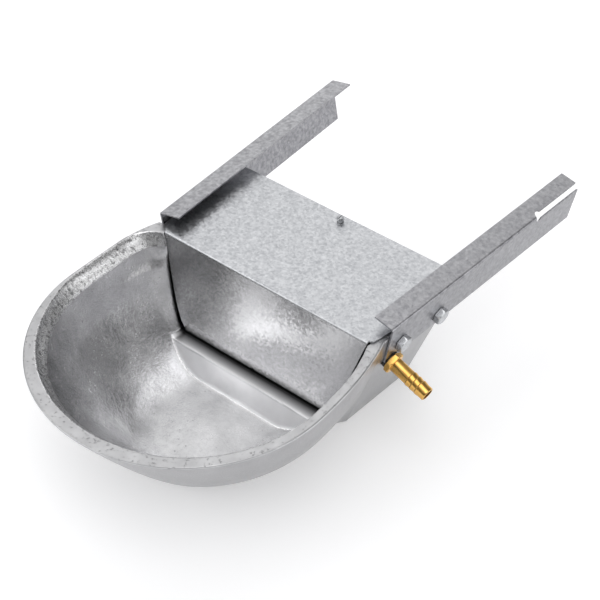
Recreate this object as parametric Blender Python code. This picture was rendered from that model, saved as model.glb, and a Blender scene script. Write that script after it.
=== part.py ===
"""Float-fed pig drinker: cast bowl, folded cover, two angle brackets, brass inlet and a float valve.

Metres, +Z up. The origin lies on the flat underside of the casting, straight below the cover's
front fold. +Y runs back along the brackets, and the hose tail leaves on the +X side.
"""
import math

import bmesh
import bpy
from mathutils import Matrix, Vector

# Casting: overall
RIM_HEIGHT = 0.113
RIM_HALF_WIDTH_LEFT = 0.1310
RIM_HALF_WIDTH_RIGHT = 0.1288
RIM_FRONT = 0.2135
DISH_CENTRE = 0.0855
BASE_HALF_WIDTH = 0.056
BASE_FRONT = 0.132
BASE_CENTRE = 0.051
SIDE_FULLNESS = (1.66, 0.81)
FRONT_FULLNESS = (1.04, 0.90)
CENTRE_SHIFT = 0.8
RIM_EDGE_RADIUS = 0.0015
BASE_EDGE_RADIUS = 0.005

# Casting: float chamber behind the dish
PAD_HALF_WIDTH_LEFT = 0.1173
PAD_HALF_WIDTH_RIGHT = 0.1163
PAD_DEPTH = 0.024
CHAMBER_BASE_HALF_WIDTH = 0.083
NECK_Y = 0.008
SHOULDER_LEFT = 0.0050
SHOULDER_RIGHT = 0.0006
SHOULDER_RUN = 0.001
REAR_WALL_Y = 0.111
REAR_DRAFT = math.radians(4.0)
CORNER_RADIUS = 0.022

# Casting: hollow
WALL = 0.006
DISH_WALL = 0.004
FLOOR = 0.006
RIM_LAND_LEFT = 0.0065
RIM_LAND_RIGHT = 0.0080
RIM_LAND_FRONT = 0.0125
LIP_DEPTH = 0.012
LIP_STEP = 0.0016
LIP_FADE = 0.045
MOUTH_HALF_WIDTH = 0.1078
FLOOR_RADIUS = 0.008
SPOT_DEPTH = 0.012
RIM_BULGE_LEFT = 4.4
RIM_BULGE_RIGHT = 2.3
MOUTH_BULGE_LEFT = 12.0
MOUTH_BULGE_RIGHT = 2.6
HOLLOW_BULGE = 2.5
OUTER_BULGE = 2.0
BULGE_DEPTH = 0.030

# Casting: weir across the floor, under the baffle
WEIR_TOP = 0.0268
WEIR_FRONT_Y = -0.027
WEIR_BACK_Y = -0.009
WEIR_LEAN = math.radians(25.0)
WEIR_EDGE_RADIUS = 0.002
WEIR_FOOT_RADIUS = 0.004

# Galvanised cover and baffle
SHEET = 0.0015
SEAT_GAP = 0.0003
COVER_REAR_Y = 0.1122
COVER_HALF_WIDTH = 0.1140
COVER_CORNER = 0.020
FOLD_HALF_WIDTH = 0.107
FOLD_RADIUS = 0.0022
FOLD_RUN = 0.002
BAFFLE_CLEARANCE = 0.0018
BAFFLE_LEAN = math.radians(9.3)
BAFFLE_FOOT_HALF_WIDTH = 0.0765
BAFFLE_TAPER = 0.78
BAFFLE_FOOT_POWER = 8
NOTCH_WIDTH = 0.0032
NOTCH_DEPTH = 0.0016

# Angle brackets
BRACKET_SHEET = 0.0015
BRACKET_LENGTH = 0.2515
BRACKET_WEB_LEFT = 0.0422
BRACKET_WEB_RIGHT = 0.0400
BRACKET_FLANGE_LEFT = 0.0218
BRACKET_FLANGE_RIGHT = 0.0193
BRACKET_TILT = math.radians(9.8)
BRACKET_SPLAY_LEFT = math.radians(2.6)
BRACKET_SPLAY_RIGHT = math.radians(3.7)
BRACKET_START_LEFT = 0.0092
BRACKET_START_RIGHT = 0.0160
BRACKET_RISE = 0.0107
BRACKET_BEND = 0.0022
SLIT_LENGTH = 0.0575
SLIT_FLANGE = 0.0040
SLIT_WEB = 0.0054
SLIT_HOLE_RADIUS = 0.0044

# M8 bolts through brackets and casting
FRONT_BOLT_Y = 0.0325
FRONT_BOLT_DROP = 0.0262
REAR_BOLT_Y = 0.081
REAR_BOLT_DROP = 0.0298
BOLT_RADIUS = 0.004
BOLT_FLATS = 0.013
BOLT_HEAD = 0.0053
BOLT_LENGTH = 0.020
NUT_HEIGHT = 0.0065
WASHER_RADIUS = 0.0072
WASHER_THICKNESS = 0.0016

# Cover screw and its boss
COVER_SCREW_Y = 0.1043
COVER_SCREW_RADIUS = 0.0025
COVER_SCREW_LENGTH = 0.018
COVER_SCREW_PROUD = 0.0030
COVER_SCREW_HEAD_RADIUS = 0.0034
COVER_SCREW_HEAD = 0.0026
COVER_SCREW_SLOT = 0.0010
BOSS_RADIUS = 0.0065
BOSS_LENGTH = 0.028

# Water inlet, measured along its axis from the casting's outer wall
INLET_Y = 0.0255
INLET_DEPTH = 0.0320
SPIGOT_RADIUS = 0.0062
SPIGOT_BORE = 0.0036
SPIGOT_INNER_END = -0.020
TAIL_BORE = 0.00485
TAIL_RADIUS = 0.0063
TAIL_LENGTH = 0.0355
TAIL_SMOOTH = 0.016
BARB_COUNT = 3
BARB_PITCH = 0.0050
BARB_RISE = 0.0006
TAIL_CHAMFER = 0.0009
COLLAR_FLATS = 0.0170
COLLAR_THICKNESS = 0.0050
SEAL_RADIUS = 0.0080
SEAL_THICKNESS = 0.0024
INNER_SEAL_THICKNESS = 0.0018

# Valve body, plunger and seal
VALVE_RADIUS = 0.0085
VALVE_CHAMFER = 0.0006
VALVE_END = -0.039
VALVE_END_WALL = 0.003
VALVE_WINDOW_WIDTH = 0.006
VALVE_WINDOW_LENGTH = 0.009
STEM_RADIUS = 0.0022
PLUNGER_RADIUS = 0.0065
PLUNGER_SEAL_RADIUS = 0.0061
PLUNGER_SEAL_THICKNESS = 0.0025
PLUNGER_HEAD = 0.010

# Float lever and its pivot
PIVOT_END = -0.0435
PIVOT_DROP = 0.0065
PIVOT_RADIUS = 0.0020
FINGER_RADIUS = 0.0020
LEVER_HUB_RADIUS = 0.0042
LEVER_WIDTH = 0.006
LEVER_THICKNESS = 0.0036
LUG_THICKNESS = 0.0028
LUG_MARGIN = 0.0045
LEVER_SWING = math.radians(14.0)
PIN_HEAD_RADIUS = 0.0034
PIN_HEAD = 0.0014
PIN_TAIL = 0.0040
SPLIT_WIRE = 0.00045
SPLIT_GAP = 0.0004
SPLIT_EYE = 0.0014
SPLIT_LEG = 0.0022
SPLIT_SPREAD = 0.0014

# Float
FLOAT_LENGTH = 0.080
FLOAT_WIDTH = 0.046
FLOAT_HEIGHT = 0.030
FLOAT_REACH = 0.098
FLOAT_DROP = 0.026
FLOAT_ROUND = 0.006
FLOAT_BOLT_RADIUS = 0.0025
FLOAT_BOLT_FLATS = 0.008
FLOAT_BOLT_HEAD = 0.0035
FLOAT_WASHER_RADIUS = 0.008
FLOAT_NUT = 0.004
FLOAT_BOLT_SHOWS = 0.0016
FLOAT_PAD_RADIUS = 0.008

# Clearances and faceting
FIT = 0.0003
RUNNING_FIT = 0.0003
CUT_PAST = 0.006
ARC_STEPS = 40
SIDE_STEPS = 7
CORNER_STEPS = 5
WALL_STEPS = 7
ROUND = 24

COVER_UNDERSIDE = RIM_HEIGHT + SEAT_GAP
COVER_TOP = COVER_UNDERSIDE + SHEET

# Sizes that differ from side to side: -1 is the left one and 1 the right one
RIM_HALF_WIDTH = {-1: RIM_HALF_WIDTH_LEFT, 1: RIM_HALF_WIDTH_RIGHT}
RIM_LAND_SIDE = {-1: RIM_LAND_LEFT, 1: RIM_LAND_RIGHT}
PAD_HALF_WIDTH = {-1: PAD_HALF_WIDTH_LEFT, 1: PAD_HALF_WIDTH_RIGHT}
RIM_BULGE = {-1: RIM_BULGE_LEFT, 1: RIM_BULGE_RIGHT}
MOUTH_BULGE = {-1: MOUTH_BULGE_LEFT, 1: MOUTH_BULGE_RIGHT}
SHOULDER = {-1: SHOULDER_LEFT, 1: SHOULDER_RIGHT}
BRACKET_WEB = {-1: BRACKET_WEB_LEFT, 1: BRACKET_WEB_RIGHT}
BRACKET_FLANGE = {-1: BRACKET_FLANGE_LEFT, 1: BRACKET_FLANGE_RIGHT}
BRACKET_SPLAY = {-1: BRACKET_SPLAY_LEFT, 1: BRACKET_SPLAY_RIGHT}
BRACKET_START_Y = {-1: BRACKET_START_LEFT, 1: BRACKET_START_RIGHT}
BOLT_PLACES = {"front": (FRONT_BOLT_Y, FRONT_BOLT_DROP), "rear": (REAR_BOLT_Y, REAR_BOLT_DROP)}


def clear_scene():
    for item in list(bpy.data.objects):
        bpy.data.objects.remove(item, do_unlink=True)


def material(name, colour, roughness, metallic):
    made = bpy.data.materials.new(name)
    made.use_nodes = True
    shader = made.node_tree.nodes["Principled BSDF"]
    shader.inputs["Base Color"].default_value = (*colour, 1.0)
    shader.inputs["Roughness"].default_value = roughness
    shader.inputs["Metallic"].default_value = metallic
    return made


def place(mesh, name, finish, matrix=None, smooth_angle=32.0):
    """Adds a mesh to the scene as a named object, smooth but for its sharp edges, or flat at 0."""
    made = bpy.data.objects.new(name, mesh)
    bpy.context.scene.collection.objects.link(made)
    if finish:
        mesh.materials.append(finish)
    if matrix:
        made.matrix_world = matrix
    if smooth_angle:
        mesh.shade_smooth()
        mesh.set_sharp_from_angle(angle=math.radians(smooth_angle))
    return made


def loft(rings, looped=False):
    """Skins a list of equal rings; a looped loft joins the last ring to the first."""
    mesh = bpy.data.meshes.new("loft")
    shell = bmesh.new()
    rows = [[shell.verts.new(point) for point in ring] for ring in rings]
    pairs = list(zip(rows, rows[1:]))
    if looped:
        pairs.append((rows[-1], rows[0]))
    for low, high in pairs:
        for index in range(len(low)):
            after = (index + 1) % len(low)
            shell.faces.new((low[index], low[after], high[after], high[index]))
    if not looped:
        shell.faces.new(list(reversed(rows[0])))
        shell.faces.new(rows[-1])
    bmesh.ops.recalc_face_normals(shell, faces=shell.faces)
    shell.to_mesh(mesh)
    shell.free()
    return mesh


def prism(outline, low, high, axis="Z"):
    """Extrudes a closed 2-D outline between two heights along an axis."""
    lift = {
        "X": lambda point, height: (height, point[0], point[1]),
        "Y": lambda point, height: (point[0], height, point[1]),
        "Z": lambda point, height: (point[0], point[1], height),
    }[axis]
    return loft([[lift(point, height) for point in outline] for height in (low, high)])


def arc(centre, radius, start, end, steps):
    """Points on an arc from one angle to another, in degrees."""
    points = []
    for index in range(steps + 1):
        angle = math.radians(start + (end - start) * index / steps)
        points.append((centre[0] + radius * math.cos(angle), centre[1] + radius * math.sin(angle)))
    return points


def circle(radius, height, steps=ROUND):
    return [
        (radius * math.cos(2 * math.pi * k / steps), radius * math.sin(2 * math.pi * k / steps), height)
        for k in range(steps)
    ]


def hexagon(flats, height, limit=math.inf, steps=ROUND):
    """A hexagon's outline by angle, with its corners cut back to a circle of limit metres."""
    ring = []
    for k in range(steps):
        angle = 2 * math.pi * k / steps
        fold = (angle + math.pi / 6) % (math.pi / 3) - math.pi / 6
        radius = min(flats / 2 / math.cos(fold), limit)
        ring.append((radius * math.cos(angle), radius * math.sin(angle), height))
    return ring


def cutter(mesh, name, matrix=None):
    made = place(mesh, "cut_" + name, None, matrix)
    made.hide_render = True
    made.display_type = "WIRE"
    return made


def apply_boolean(target, tool, operation="DIFFERENCE"):
    change = target.modifiers.new(tool.name, "BOOLEAN")
    change.operation = operation
    change.object = tool
    change.solver = "EXACT"


def rod_cut(target, name, radius, start, direction, length):
    """Drills a round hole from a point along a direction."""
    turn = Vector(direction).to_track_quat("Z", "Y").to_matrix().to_4x4()
    tool = cutter(loft([circle(radius, 0.0), circle(radius, length)]), name,
                  Matrix.Translation(start) @ turn)
    apply_boolean(target, tool)


# Shape of the casting, by depth below the rim

def fade(share, power, root):
    return max(0.0, 1.0 - share ** power) ** root


def chamber_half_width(side, depth):
    """Outer half-width beside the float chamber: a steep bracket pad, then the draft below it."""
    pad_foot = PAD_HALF_WIDTH[side] - PAD_DEPTH * math.tan(BRACKET_TILT)
    if depth <= PAD_DEPTH:
        return PAD_HALF_WIDTH[side] - depth * math.tan(BRACKET_TILT)
    share = (depth - PAD_DEPTH) / (RIM_HEIGHT - PAD_DEPTH)
    return pad_foot + (CHAMBER_BASE_HALF_WIDTH - pad_foot) * share


def chamber_draft():
    """Slope of the chamber's lower right wall, as an angle from upright."""
    drop = RIM_HEIGHT - PAD_DEPTH
    return math.atan((chamber_half_width(1, PAD_DEPTH) - CHAMBER_BASE_HALF_WIDTH) / drop)


def rounding(distance, radius):
    """Inset of a quarter-round edge at a distance from the face that it runs into."""
    if distance >= radius:
        return 0.0
    return radius - math.sqrt(radius ** 2 - (radius - distance) ** 2)


def outline(sides, front, centre, rear, neck_y, corner):
    """One closed ring: round front, swelling flanks, straight chamber sides, two rear corners.

    For each side it takes the half-widths at the dish and at the neck, the shoulder in front of
    the bracket, and how full the flank's swell is.
    """
    reach = front - centre
    ring = []
    for index in range(ARC_STEPS + 1):
        turn = math.pi * index / ARC_STEPS
        width = sides[-1 if 2 * index < ARC_STEPS else 1][0]
        ring.append((-width * math.cos(turn), -centre - reach * math.sin(turn)))
    for side in (1, -1):
        width, neck, shoulder, bulge = sides[side]
        root = neck + shoulder
        flank = []
        for step in range(1, SIDE_STEPS + 1):
            share = 1.0 - (1.0 - step / SIDE_STEPS) ** 2
            y = -centre + (neck_y + centre) * share
            flank.append((root + (width - root) * (1.0 - share ** bulge), y))
        pad_y = neck_y + SHOULDER_RUN
        flank.append((neck, pad_y))
        rear_half = neck + math.tan(BRACKET_SPLAY[side]) * (rear - corner - pad_y)
        flank += arc((rear_half - corner, rear - corner), corner, 0, 90, CORNER_STEPS)
        ring += [(side * x, y) for x, y in flank[::side]]
    return ring


def dish_size(depth):
    """Outer half-widths, front reach and centre of the dish at a depth below the rim."""
    share = min(1.0, max(0.0, depth / RIM_HEIGHT))
    grow = fade(share, *SIDE_FULLNESS)
    widths = {}
    for side in (-1, 1):
        widths[side] = BASE_HALF_WIDTH + (RIM_HALF_WIDTH[side] - BASE_HALF_WIDTH) * grow
    front = BASE_FRONT + (RIM_FRONT - BASE_FRONT) * fade(share, *FRONT_FULLNESS)
    centre = DISH_CENTRE - (DISH_CENTRE - BASE_CENTRE) * share ** CENTRE_SHIFT
    return widths, front, centre


def bulge_at(depth, at_rim, below):
    """How full a flank is at a depth: its own value at the rim, a common one further down."""
    share = min(1.0, depth / BULGE_DEPTH)
    return at_rim + (below - at_rim) * share


def outer_ring(depth, inset=0.0):
    widths, front, centre = dish_size(depth)
    rear = REAR_WALL_Y - depth * math.tan(REAR_DRAFT)
    sides = {}
    for side in (-1, 1):
        shoulder = SHOULDER[side] * max(0.0, 1.0 - depth / PAD_DEPTH)
        bulge = bulge_at(depth, RIM_BULGE[side], OUTER_BULGE)
        sides[side] = (widths[side] - inset, chamber_half_width(side, depth) - inset, shoulder, bulge)
    flat = outline(sides, front - inset, centre, rear - inset, NECK_Y, CORNER_RADIUS)
    return [(x, y, RIM_HEIGHT - depth) for x, y in flat]


def hollow_ring(depth, height):
    """Inner skin at a depth: the land's inner edge, the lip's band and crease, then the wall.

    The float chamber is as wide on the left as on the right, where its wall keeps its thickness.
    """
    widths, front, centre = dish_size(depth + FLOOR)
    widths_below_rim = dish_size(FLOOR)[0]
    lip = LIP_STEP * max(0.0, 1.0 - abs(depth - LIP_DEPTH) / LIP_FADE)
    if depth < LIP_DEPTH:
        lip = LIP_STEP * (depth / LIP_DEPTH) ** 2
    near_rim = 1.0 - min(1.0, depth / LIP_FADE)
    foot = rounding(RIM_HEIGHT - FLOOR - depth, FLOOR_RADIUS)
    chamber = chamber_half_width(1, depth) - WALL - foot
    chamber -= (PAD_HALF_WIDTH[1] - MOUTH_HALF_WIDTH - WALL) * max(0.0, 1.0 - depth / PAD_DEPTH)
    rear = REAR_WALL_Y - depth * math.tan(REAR_DRAFT) - WALL - foot
    sides = {}
    for side in (-1, 1):
        land = widths_below_rim[side] - DISH_WALL - RIM_HALF_WIDTH[side] + RIM_LAND_SIDE[side]
        inset = DISH_WALL + lip + near_rim * land
        bulge = bulge_at(depth, MOUTH_BULGE[side], HOLLOW_BULGE)
        sides[side] = (widths[side] - inset, chamber, 0.0, bulge)
    front_land = dish_size(FLOOR)[1] - DISH_WALL - RIM_FRONT + RIM_LAND_FRONT
    front -= DISH_WALL + lip + near_rim * front_land
    flat = outline(sides, front, centre, rear, -SHOULDER_RUN, CORNER_RADIUS - WALL)
    return [(x, y, height) for x, y in flat]


def weir_outline():
    """Side view of the weir, front to back, in (y, z)."""
    floor = FLOOR
    lean = math.tan(WEIR_LEAN)
    foot_y = WEIR_FRONT_Y - (WEIR_TOP - floor) * lean
    back_foot_y = WEIR_BACK_Y + (WEIR_TOP - floor) * lean
    lean_degrees = math.degrees(WEIR_LEAN)
    half = math.radians(90 - lean_degrees) / 2
    foot_run = WEIR_FOOT_RADIUS * math.tan(math.radians(90 - lean_degrees) / 2)
    top_run = WEIR_EDGE_RADIUS * math.tan(half)
    foot = arc((foot_y - foot_run, floor + WEIR_FOOT_RADIUS), WEIR_FOOT_RADIUS,
               -90, -lean_degrees, 3)
    crest = arc((WEIR_FRONT_Y + top_run, WEIR_TOP - WEIR_EDGE_RADIUS), WEIR_EDGE_RADIUS,
                180 - lean_degrees, 90, 3)
    below = floor - CUT_PAST
    points = [(foot_y - foot_run, below)] + foot + crest
    points += [(WEIR_BACK_Y, WEIR_TOP), (back_foot_y, floor), (back_foot_y, below)]
    return points


def spread(start, end, steps):
    """Evenly spaced values after a start, up to but without the end."""
    return [start + (end - start) * step / steps for step in range(1, steps)]


def make_basin(finish):
    rings = [outer_ring(0.0, RIM_EDGE_RADIUS)]
    depths = [RIM_EDGE_RADIUS] + spread(0.0, PAD_DEPTH, 4)[::2] + [PAD_DEPTH]
    depths += spread(PAD_DEPTH, RIM_HEIGHT - BASE_EDGE_RADIUS, WALL_STEPS)
    rings += [outer_ring(depth) for depth in depths]
    for share in (1.0, 0.55, 0.2, 0.0):
        depth = RIM_HEIGHT - BASE_EDGE_RADIUS * share
        rings.append(outer_ring(depth, rounding(BASE_EDGE_RADIUS * share, BASE_EDGE_RADIUS)))
    basin = place(loft(rings), "basin", finish)

    floor_depth = RIM_HEIGHT - FLOOR
    inner = [LIP_DEPTH * share for share in (0.0, 0.1, 0.33, 0.67, 1.0)]
    inner += [LIP_DEPTH + (PAD_DEPTH - LIP_DEPTH) / 3, PAD_DEPTH]
    inner += spread(PAD_DEPTH, floor_depth - FLOOR_RADIUS, WALL_STEPS)
    inner += [floor_depth - FLOOR_RADIUS * share for share in (1.0, 0.6, 0.3, 0.1, 0.0)]
    hollow = [hollow_ring(0.0, RIM_HEIGHT + CUT_PAST)]
    hollow += [hollow_ring(depth, RIM_HEIGHT - depth) for depth in inner]
    cavity = cutter(loft(hollow), "cavity")
    weir = cutter(prism(weir_outline(), -PAD_HALF_WIDTH[-1], PAD_HALF_WIDTH[1], "X"), "weir")
    apply_boolean(cavity, weir)
    boss_rings = [
        circle(BOSS_RADIUS * 0.2, RIM_HEIGHT - BOSS_LENGTH - BOSS_RADIUS),
        circle(BOSS_RADIUS, RIM_HEIGHT - BOSS_LENGTH),
        circle(BOSS_RADIUS, RIM_HEIGHT + 2 * CUT_PAST),
    ]
    boss = cutter(loft(boss_rings), "boss", Matrix.Translation((0, COVER_SCREW_Y, 0)))
    apply_boolean(cavity, boss)
    apply_boolean(basin, cavity)

    depth = COVER_SCREW_LENGTH + 2 * FIT
    rod_cut(basin, "cover_screw_hole", COVER_SCREW_RADIUS + FIT,
            (0, COVER_SCREW_Y, RIM_HEIGHT - depth), (0, 0, 1), depth + CUT_PAST)
    for side in (-1, 1):
        for end in BOLT_PLACES:
            frame = bolt_frame(side, end)
            out = frame.to_3x3() @ Vector((0, 0, 1))
            label = "%d_%s" % (side, end)
            reach = bolt_seat() + SPOT_DEPTH
            start = frame.translation - out * reach
            rod_cut(basin, "bolt_hole_" + label, BOLT_RADIUS + FIT, start, out, reach + CUT_PAST)
            start = frame.translation - out * bolt_seat()
            rod_cut(basin, "bolt_seat_" + label, WASHER_RADIUS + 2 * FIT, start, -out, SPOT_DEPTH)
    frame = inlet_frame()
    out = frame.to_3x3() @ Vector((0, 0, 1))
    reach = inlet_wall() + SPOT_DEPTH
    start = frame.translation - out * reach
    rod_cut(basin, "inlet_hole", SPIGOT_RADIUS + FIT, start, out, reach + SPOT_DEPTH)
    start = frame.translation - out * inlet_wall()
    rod_cut(basin, "inlet_seat", VALVE_RADIUS + 2 * FIT, start, -out, SPOT_DEPTH)
    return basin


# Brackets

def bracket_frame(side):
    """Origin at the front end of the bend's outer corner; +X out, +Y back, +Z up the web."""
    rise = Vector((side * math.sin(BRACKET_TILT), 0, math.cos(BRACKET_TILT)))
    out = Vector((side * math.cos(BRACKET_TILT), 0, -math.sin(BRACKET_TILT)))
    turn = Matrix.Rotation(-side * BRACKET_SPLAY[side], 3, "Z")
    along = turn @ Vector((0, 1, 0))
    out = turn @ out
    rise = turn @ rise
    pad_y = NECK_Y + SHOULDER_RUN
    pad = Vector((side * PAD_HALF_WIDTH[side], pad_y, RIM_HEIGHT))
    start = pad + out * (SEAT_GAP + BRACKET_SHEET) + rise * (BRACKET_RISE / math.cos(BRACKET_TILT))
    start += along * (BRACKET_START_Y[side] - pad_y)
    matrix = Matrix((out * side, along, rise)).transposed().to_4x4()
    matrix.translation = start
    return matrix


def bolt_frame(side, end):
    """Origin where a bolt's axis leaves the web's outer face; +Z points out of the web."""
    frame = bracket_frame(side)
    y, below_fold = BOLT_PLACES[end]
    local = Vector((0, (y - BRACKET_START_Y[side]) / math.cos(BRACKET_SPLAY[side]), -below_fold))
    out = (frame.to_3x3() @ Vector((side, 0, 0))).normalized()
    along = (frame.to_3x3() @ Vector((0, 1, 0))).normalized()
    matrix = Matrix((along, out.cross(along), out)).transposed().to_4x4()
    matrix.translation = frame @ local
    return matrix


def make_bracket(side, name, finish):
    web_foot = -BRACKET_WEB[side]
    inner = BRACKET_BEND - BRACKET_SHEET
    bend_out = arc((-BRACKET_BEND, -BRACKET_BEND), BRACKET_BEND, 0, 90, 4)
    bend_in = arc((-BRACKET_BEND, -BRACKET_BEND), inner, 90, 0, 4)
    flange = BRACKET_FLANGE[side]
    section = [(0, web_foot)] + bend_out + [(-flange, 0), (-flange, -BRACKET_SHEET)]
    section += bend_in + [(-BRACKET_SHEET, web_foot)]
    behind_cover = (COVER_REAR_Y - BRACKET_START_Y[side]) / math.cos(BRACKET_SPLAY[side])
    stations = (0.0, behind_cover, BRACKET_LENGTH)
    strip = loft([[(side * x, y, z) for x, z in section] for y in stations])
    bracket = place(strip, name, finish, bracket_frame(side), 0)
    out = bracket_frame(side).to_3x3() @ Vector((side, 0, 0))
    for end in BOLT_PLACES:
        hole = bolt_frame(side, end)
        rod_cut(bracket, "%s_hole_%s" % (name, end), BOLT_RADIUS + FIT,
                hole.translation - out * CUT_PAST, out, 2 * CUT_PAST)
    if side > 0:
        inlet = inlet_frame()
        axis = inlet.to_3x3() @ Vector((0, 0, 1))
        rod_cut(bracket, name + "_inlet_notch", SEAL_RADIUS + 2 * FIT,
                inlet.translation - axis * CUT_PAST, axis, 3 * CUT_PAST)
        cut_slit(bracket, side, name)
    return bracket


def cut_slit(bracket, side, name):
    """Opens the bend at the rear end, with a round relief hole where the slit stops."""
    frame = bracket_frame(side)
    start = BRACKET_LENGTH - SLIT_LENGTH
    clear = BRACKET_FLANGE[side]
    shape = [(side * -SLIT_FLANGE, -SLIT_WEB), (side * clear, -SLIT_WEB), (side * clear, clear),
             (side * -SLIT_FLANGE, clear)]
    tool = cutter(prism(shape, start, BRACKET_LENGTH + clear, "Y"), name + "_slit", frame)
    apply_boolean(bracket, tool)
    diagonal = frame.to_3x3() @ Vector((side, 0, 1)).normalized()
    relief = frame @ Vector((side * -SLIT_FLANGE / 2, start, -SLIT_WEB / 2))
    rod_cut(bracket, name + "_relief", SLIT_HOLE_RADIUS, relief - diagonal * CUT_PAST, diagonal,
            2 * CUT_PAST)


# Cover

def cover_rows():
    """Rows across the sheet from rear edge to baffle foot: outer (y, z), inward normal, half-width."""
    rows = [(COVER_REAR_Y, COVER_TOP, 0.0, -1.0, COVER_HALF_WIDTH)]
    rows.append((COVER_CORNER, COVER_TOP, 0.0, -1.0, COVER_HALF_WIDTH))
    rows.append((FOLD_RADIUS + FOLD_RUN, COVER_TOP, 0.0, -1.0, (COVER_HALF_WIDTH + FOLD_HALF_WIDTH) / 2))
    bend = math.pi / 2 - BAFFLE_LEAN
    steps = 5
    for index in range(steps + 1):
        angle = bend * index / steps
        y = FOLD_RADIUS - FOLD_RADIUS * math.sin(angle)
        z = COVER_TOP - FOLD_RADIUS + FOLD_RADIUS * math.cos(angle)
        rows.append((y, z, math.sin(angle), -math.cos(angle), FOLD_HALF_WIDTH))
    top_y, top_z = rows[-1][0], rows[-1][1]
    down = Vector((-math.sin(BAFFLE_LEAN), -math.cos(BAFFLE_LEAN)))
    normal = (math.cos(BAFFLE_LEAN), -math.sin(BAFFLE_LEAN))
    length = (top_z - WEIR_TOP - BAFFLE_CLEARANCE) / math.cos(BAFFLE_LEAN)
    steps = 10
    for index in range(1, steps + 1):
        share = index / steps
        half = FOLD_HALF_WIDTH + (BAFFLE_FOOT_HALF_WIDTH - FOLD_HALF_WIDTH) * baffle_taper(share)
        y = top_y + down[0] * length * share
        z = top_z + down[1] * length * share
        rows.append((y, z, normal[0], normal[1], half))
    return rows


def baffle_taper(share):
    """How far the baffle's side has come in at a share of its length: slow, then quick at the foot."""
    return BAFFLE_TAPER * share + (1.0 - BAFFLE_TAPER) * share ** BAFFLE_FOOT_POWER


def make_cover(finish):
    rows = cover_rows()
    outer = [((-half, y, z), (half, y, z)) for y, z, _, _, half in rows]
    inner = [((-half, y + ny * SHEET, z + nz * SHEET), (half, y + ny * SHEET, z + nz * SHEET))
             for y, z, ny, nz, half in rows]
    rings = [[o[0], o[1], i[1], i[0]] for o, i in zip(outer, inner)]
    cover = place(loft(rings), "cover", finish, smooth_angle=0)
    foot_y, foot_z = rows[-1][0], rows[-1][1]
    notch = [(-NOTCH_WIDTH / 2, foot_z - CUT_PAST), (NOTCH_WIDTH / 2, foot_z - CUT_PAST),
             (NOTCH_WIDTH / 2, foot_z), (0, foot_z + NOTCH_DEPTH), (-NOTCH_WIDTH / 2, foot_z)]
    tool = cutter(prism(notch, foot_y - CUT_PAST, foot_y + CUT_PAST, "Y"), "baffle_notch")
    apply_boolean(cover, tool)
    rod_cut(cover, "cover_hole", COVER_SCREW_RADIUS + FIT, (0, COVER_SCREW_Y, COVER_UNDERSIDE - CUT_PAST),
            (0, 0, 1), SHEET + 2 * CUT_PAST)
    return cover


# Fasteners

def hex_bolt(name, finish, matrix, radius, length, flats, head):
    """Hex head on +Z of the matrix's origin, plain shank on -Z."""
    corner = flats / 2 / math.cos(math.pi / 6)
    tip = radius * 0.8
    rings = [
        circle(tip, -length),
        circle(radius, -length + radius * 0.25),
        circle(radius, 0.0),
        hexagon(flats, 0.0),
        hexagon(flats, head * 0.84),
        hexagon(flats, head, flats / 2 * 0.97 + (corner - flats / 2) * 0.1),
    ]
    return place(loft(rings), name, finish, matrix, 25.0)


def hex_nut(name, finish, matrix, bore, flats, height):
    """A nut on +Z of the matrix's origin, with both faces chamfered."""
    cut = flats / 2 * 0.98
    rings = [
        circle(bore, 0.0), hexagon(flats, 0.0, cut), hexagon(flats, height * 0.12),
        hexagon(flats, height * 0.88), hexagon(flats, height, cut), circle(bore, height),
    ]
    return place(loft(rings, looped=True), name, finish, matrix, 25.0)


def washer(name, finish, matrix, bore, radius, thickness):
    rings = [circle(bore, 0.0), circle(radius, 0.0), circle(radius, thickness), circle(bore, thickness)]
    return place(loft(rings, looped=True), name, finish, matrix)


def bolt_seat():
    """Distance from the web's outer face to the spot face inside the casting."""
    return BRACKET_SHEET + SEAT_GAP + WALL


def make_bracket_bolts(zinc):
    for side, side_name in ((-1, "left"), (1, "right")):
        for end in BOLT_PLACES:
            frame = bolt_frame(side, end)
            label = "%s_%s" % (side_name, end)
            head = frame @ Matrix.Translation((0, 0, FIT))
            hex_bolt("bolt_" + label, zinc, head, BOLT_RADIUS, BOLT_LENGTH, BOLT_FLATS, BOLT_HEAD)
            flip = Matrix.Rotation(math.pi, 4, "X")
            seat = frame @ Matrix.Translation((0, 0, -bolt_seat() - FIT)) @ flip
            washer("bolt_washer_" + label, zinc, seat, BOLT_RADIUS + FIT, WASHER_RADIUS,
                   WASHER_THICKNESS)
            seat = seat @ Matrix.Translation((0, 0, WASHER_THICKNESS + FIT))
            hex_nut("bolt_nut_" + label, zinc, seat, BOLT_RADIUS + FIT, BOLT_FLATS, NUT_HEIGHT)


# Inlet and valve

def inlet_frame():
    """Origin where the inlet's axis crosses the outer wall; +Z points out along the axis."""
    draft = chamber_draft()
    splay = math.tan(BRACKET_SPLAY[1])
    x = chamber_half_width(1, INLET_DEPTH) + splay * (INLET_Y - NECK_Y - SHOULDER_RUN)
    out = Vector((math.cos(draft), 0, -math.sin(draft)))
    out = Vector((out.x, -out.x * splay, out.z)).normalized()
    up = Vector((0, 0, 1)) - out * out.z
    up.normalize()
    across = up.cross(out)
    matrix = Matrix((across, up, out)).transposed().to_4x4()
    matrix.translation = (x, INLET_Y, RIM_HEIGHT - INLET_DEPTH)
    return matrix


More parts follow.
